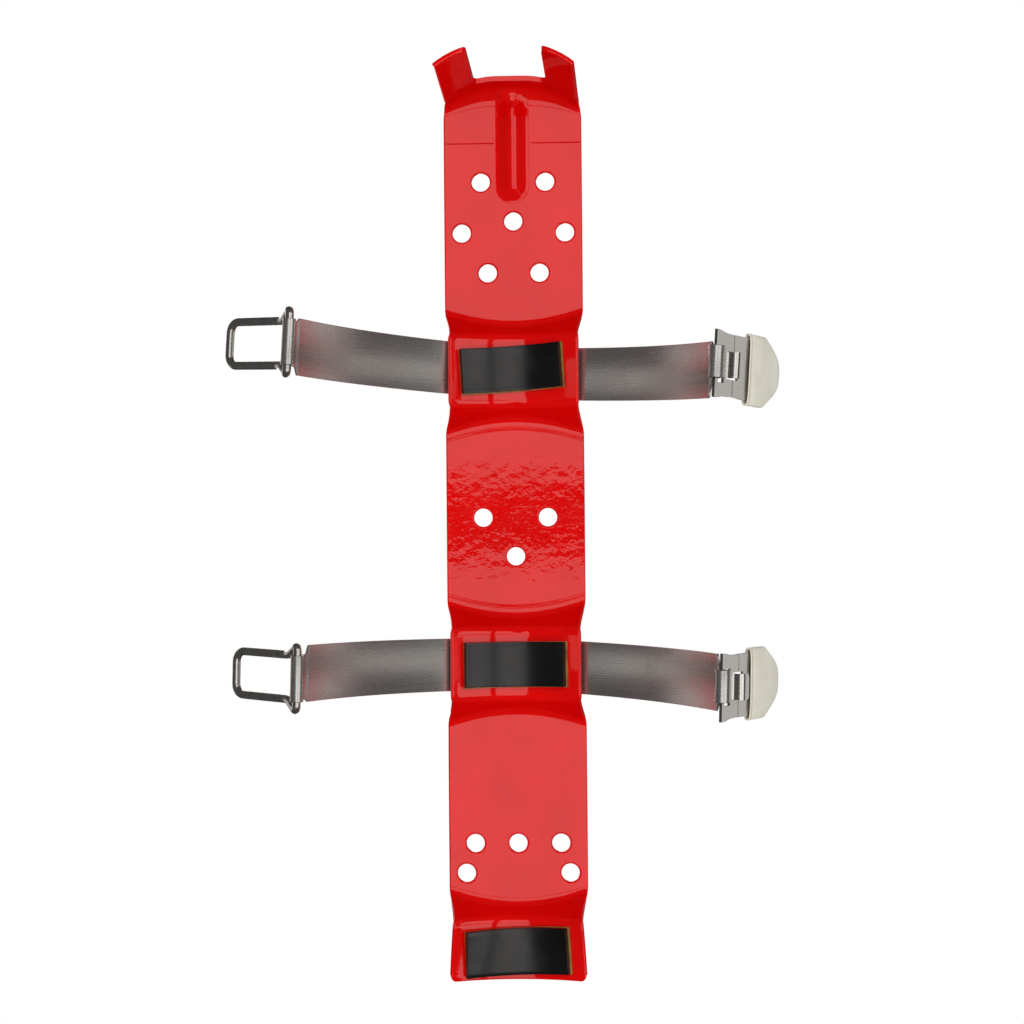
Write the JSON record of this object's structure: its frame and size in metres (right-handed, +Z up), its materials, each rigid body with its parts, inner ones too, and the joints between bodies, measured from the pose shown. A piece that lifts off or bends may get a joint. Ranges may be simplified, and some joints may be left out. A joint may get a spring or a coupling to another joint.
{
  "type": "fire extinguisher wall bracket",
  "caption": "Heavy-duty wall bracket for a cylinder: cradled back plate with a forked yoke, rubber pads, and springy steel bands closed by wire bails and hooked levers.",
  "frame": {"origin": "wall side of the back plate, on its middle line, halfway between the two band cradles", "axes": "+Z up the back plate, +X to the right seen from the cylinder's side, +Y into the wall"},
  "size_m": [0.3175, 0.1431, 0.5524],
  "materials": {
    "red_coating": "glossy red powder coat with fine orange peel",
    "pad_rubber": "semi-gloss black rubber",
    "adhesive": "yellow-brown pressure-sensitive adhesive",
    "band_steel": "bright rolled stainless strip",
    "bail_wire": "drawn stainless wire",
    "boot_rubber": "off-white dipped rubber, satin"
  },
  "bodies": {
    "bracket": {"back_plate": "red_coating", "adhesive_upper": "adhesive", "pad_upper": "pad_rubber", "adhesive_lower": "adhesive", "pad_lower": "pad_rubber", "adhesive_bottom": "adhesive", "pad_bottom": "pad_rubber"},
    "upper_band": {"band_upper_centre": "band_steel"},
    "upper_left_1": {"band_upper_left_1": "band_steel"},
    "upper_left_2": {"band_upper_left_2": "band_steel"},
    "upper_left_3": {"band_upper_left_3": "band_steel"},
    "upper_bail": {"bail_upper": "bail_wire"},
    "upper_right_1": {"band_upper_right_1": "band_steel"},
    "upper_right_2": {"band_upper_right_2": "band_steel"},
    "upper_right_3": {"band_upper_right_3": "band_steel"},
    "upper_lever": {"lever_upper": "band_steel", "boot_upper": "boot_rubber"},
    "lower_band": {"band_lower_centre": "band_steel"},
    "lower_left_1": {"band_lower_left_1": "band_steel"},
    "lower_left_2": {"band_lower_left_2": "band_steel"},
    "lower_left_3": {"band_lower_left_3": "band_steel"},
    "lower_bail": {"bail_lower": "bail_wire"},
    "lower_right_1": {"band_lower_right_1": "band_steel"},
    "lower_right_2": {"band_lower_right_2": "band_steel"},
    "lower_right_3": {"band_lower_right_3": "band_steel"},
    "lower_lever": {"lever_lower": "band_steel", "boot_lower": "boot_rubber"}
  },
  "joints": [
    {"name": "upper_band_slide", "type": "hinge", "parent": "bracket", "child": "upper_band", "pos_m": [0, -0.08149, 0.08743], "axis": [0.0628, -0.0131, 0.9979], "range_deg": [-2, 2]},
    {"name": "upper_left_flex_1", "type": "hinge", "parent": "upper_band", "child": "upper_left_1", "pos_m": [-0.04265, -0.02483, 0.09086], "axis": [0.0628, -0.0131, 0.9979], "range_deg": [-4, 20], "stiffness_Nm_per_rad": 1},
    {"name": "upper_left_flex_2", "type": "hinge", "parent": "upper_left_1", "child": "upper_left_2", "pos_m": [-0.0769, -0.05684, 0.09259], "axis": [0.0628, -0.0131, 0.9979], "range_deg": [-4, 20], "stiffness_Nm_per_rad": 1},
    {"name": "upper_left_flex_3", "type": "hinge", "parent": "upper_left_2", "child": "upper_left_3", "pos_m": [-0.10378, -0.09527, 0.09378], "axis": [0.0628, -0.0131, 0.9979], "range_deg": [-4, 20], "stiffness_Nm_per_rad": 1},
    {"name": "upper_bail_swing", "type": "hinge", "parent": "upper_left_3", "child": "upper_bail", "pos_m": [-0.11954, -0.13923, 0.0954], "axis": [0.0628, -0.0131, 0.9979], "range_deg": [0, 125]},
    {"name": "upper_right_flex_1", "type": "hinge", "parent": "upper_band", "child": "upper_right_1", "pos_m": [0.04265, -0.02476, 0.08549], "axis": [-0.0628, 0.0131, -0.9979], "range_deg": [-4, 20], "stiffness_Nm_per_rad": 1},
    {"name": "upper_right_flex_2", "type": "hinge", "parent": "upper_right_1", "child": "upper_right_2", "pos_m": [0.07358, -0.05298, 0.08318], "axis": [-0.0628, 0.0131, -0.9979], "range_deg": [-4, 20], "stiffness_Nm_per_rad": 1},
    {"name": "upper_right_flex_3", "type": "hinge", "parent": "upper_right_2", "child": "upper_right_3", "pos_m": [0.09874, -0.08647, 0.08116], "axis": [-0.0628, 0.0131, -0.9979], "range_deg": [-4, 20], "stiffness_Nm_per_rad": 1},
    {"name": "upper_lever_fold", "type": "hinge", "parent": "upper_right_3", "child": "upper_lever", "pos_m": [0.11417, -0.12535, 0.08238], "axis": [0.0628, -0.0131, 0.9979], "range_deg": [-122, 15]},
    {"name": "lower_band_slide", "type": "hinge", "parent": "bracket", "child": "lower_band", "pos_m": [0, -0.0815, -0.09023], "axis": [0.0279, -0.0052, 0.9996], "range_deg": [-2, 2]},
    {"name": "lower_left_flex_1", "type": "hinge", "parent": "lower_band", "child": "lower_left_1", "pos_m": [-0.04271, -0.0248, -0.08874], "axis": [0.0279, -0.0052, 0.9996], "range_deg": [-4, 20], "stiffness_Nm_per_rad": 1},
    {"name": "lower_left_flex_2", "type": "hinge", "parent": "lower_left_1", "child": "lower_left_2", "pos_m": [-0.07515, -0.05467, -0.08799], "axis": [0.0279, -0.0052, 0.9996], "range_deg": [-4, 20], "stiffness_Nm_per_rad": 1},
    {"name": "lower_left_flex_3", "type": "hinge", "parent": "lower_left_2", "child": "lower_left_3", "pos_m": [-0.10114, -0.09029, -0.08745], "axis": [0.0279, -0.0052, 0.9996], "range_deg": [-4, 20], "stiffness_Nm_per_rad": 1},
    {"name": "lower_bail_swing", "type": "hinge", "parent": "lower_left_3", "child": "lower_bail", "pos_m": [-0.11723, -0.13116, -0.08891], "axis": [0.0279, -0.0052, 0.9996], "range_deg": [-8, 125]},
    {"name": "lower_right_flex_1", "type": "hinge", "parent": "lower_band", "child": "lower_right_1", "pos_m": [0.04271, -0.02479, -0.09112], "axis": [-0.0279, 0.0052, -0.9996], "range_deg": [-4, 20], "stiffness_Nm_per_rad": 1},
    {"name": "lower_right_flex_2", "type": "hinge", "parent": "lower_right_1", "child": "lower_right_2", "pos_m": [0.07459, -0.05402, -0.09217], "axis": [-0.0279, 0.0052, -0.9996], "range_deg": [-4, 20], "stiffness_Nm_per_rad": 1},
    {"name": "lower_right_flex_3", "type": "hinge", "parent": "lower_right_2", "child": "lower_right_3", "pos_m": [0.10028, -0.08882, -0.09307], "axis": [-0.0279, 0.0052, -0.9996], "range_deg": [-4, 20], "stiffness_Nm_per_rad": 1},
    {"name": "lower_lever_fold", "type": "hinge", "parent": "lower_right_3", "child": "lower_lever", "pos_m": [0.1155, -0.12908, -0.0956], "axis": [0.0279, -0.0052, 0.9996], "range_deg": [-120, 12]}
  ],
  "couplings": [
    {"joint": "upper_left_flex_2", "follows": "upper_left_flex_1", "ratio": 1},
    {"joint": "upper_left_flex_3", "follows": "upper_left_flex_1", "ratio": 1},
    {"joint": "upper_right_flex_2", "follows": "upper_right_flex_1", "ratio": 1},
    {"joint": "upper_right_flex_3", "follows": "upper_right_flex_1", "ratio": 1},
    {"joint": "lower_left_flex_2", "follows": "lower_left_flex_1", "ratio": 1},
    {"joint": "lower_left_flex_3", "follows": "lower_left_flex_1", "ratio": 1},
    {"joint": "lower_right_flex_2", "follows": "lower_right_flex_1", "ratio": 1},
    {"joint": "lower_right_flex_3", "follows": "lower_right_flex_1", "ratio": 1}
  ]
}
